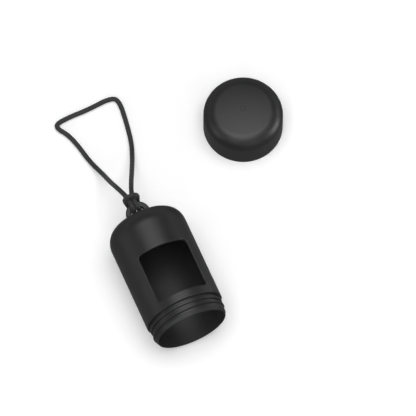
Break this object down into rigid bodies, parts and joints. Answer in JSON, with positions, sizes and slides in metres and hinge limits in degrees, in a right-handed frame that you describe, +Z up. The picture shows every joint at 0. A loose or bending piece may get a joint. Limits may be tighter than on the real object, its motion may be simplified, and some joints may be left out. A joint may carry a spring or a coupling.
{
  "type": "waste bag canister with screw cap and wrist lanyard",
  "caption": "Small cylindrical bag dispenser: domed canister with a side window and threaded neck, its screw cap standing beside it, and a wrist lanyard hitched to a lug.",
  "frame": {"origin": "on the floor, at the centre of the box round the lying canister and the standing cap, the lanyard left out", "axes": "+Z up; the canister lies along Y with its mouth towards -Y and its lug and lanyard towards +Y; the cap stands towards +X"},
  "size_m": [0.1324, 0.1673, 0.048],
  "materials": {
    "shell_plastic": "fine matte grain, soft black",
    "cap_plastic": "fine matte grain, soft black",
    "cord_polyester": "black braided cord"
  },
  "bodies": {
    "canister": {"canister_shell": "shell_plastic"},
    "cap": {"screw_cap": "cap_plastic"},
    "lanyard": {"lanyard_cord": "cord_polyester", "lanyard_hitch": "cord_polyester"}
  },
  "joints": [
    {"name": "cap_lift", "type": "slide", "parent": "canister", "child": "cap", "axis": [0, 0, 1], "range_m": [0, 0.12]},
    {"name": "lanyard_swing", "type": "hinge", "parent": "canister", "child": "lanyard", "pos_m": [-0.0422, 0.00955, 0.024], "axis": [0, 0, 1], "range_deg": [-30, 45]}
  ]
}
